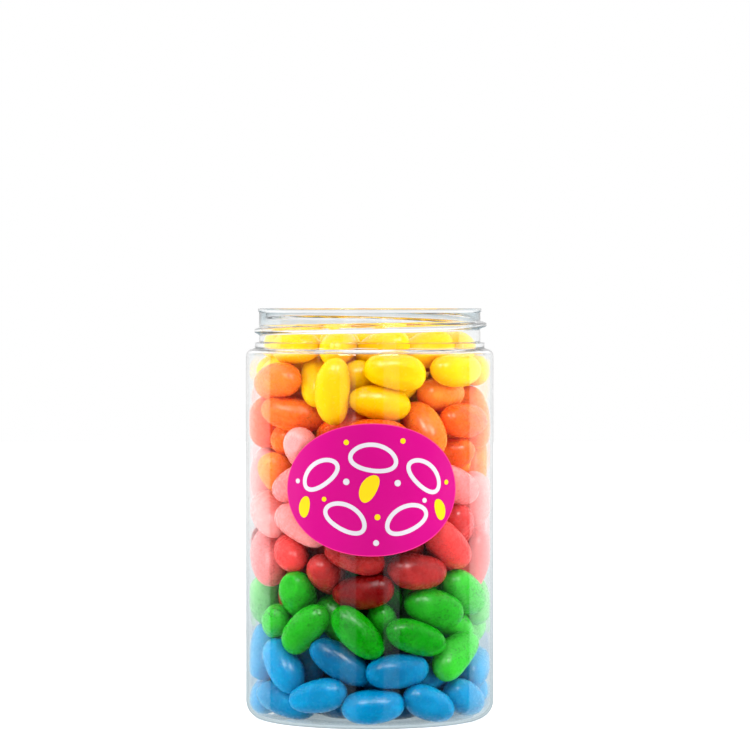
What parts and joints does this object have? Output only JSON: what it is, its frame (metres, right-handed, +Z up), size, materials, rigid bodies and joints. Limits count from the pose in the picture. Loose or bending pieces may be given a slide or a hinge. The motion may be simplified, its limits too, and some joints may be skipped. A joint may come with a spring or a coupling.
{
  "type": "jar of jelly beans",
  "caption": "Clear straight-sided plastic jar with a screw neck and no lid, filled to the neck with jelly beans in coloured layers, with an oval label on the front.",
  "frame": {"origin": "middle of the base, on the surface that the jar stands on", "axes": "+Z up along the jar's axis to its mouth, -Y towards the label, +X to the right of someone facing the label"},
  "size_m": [0.094, 0.0946, 0.1556],
  "materials": {
    "clear_plastic": "clear, polished",
    "label_paper": "smooth, slightly glossy, printed",
    "blue_shell": "waxed sugar shell, soft gloss",
    "green_shell": "waxed sugar shell, soft gloss, finely speckled",
    "red_shell": "waxed sugar shell, soft gloss",
    "pink_shell": "waxed sugar shell, soft gloss",
    "orange_shell": "waxed sugar shell, soft gloss",
    "yellow_shell": "waxed sugar shell, soft gloss"
  },
  "bodies": {
    "root": {"jar": "clear_plastic", "label": "label_paper", "beans_blue": "blue_shell", "beans_green": "green_shell", "beans_red": "red_shell", "beans_pink": "pink_shell", "beans_orange": "orange_shell", "beans_yellow": "yellow_shell"}
  },
  "joints": []
}
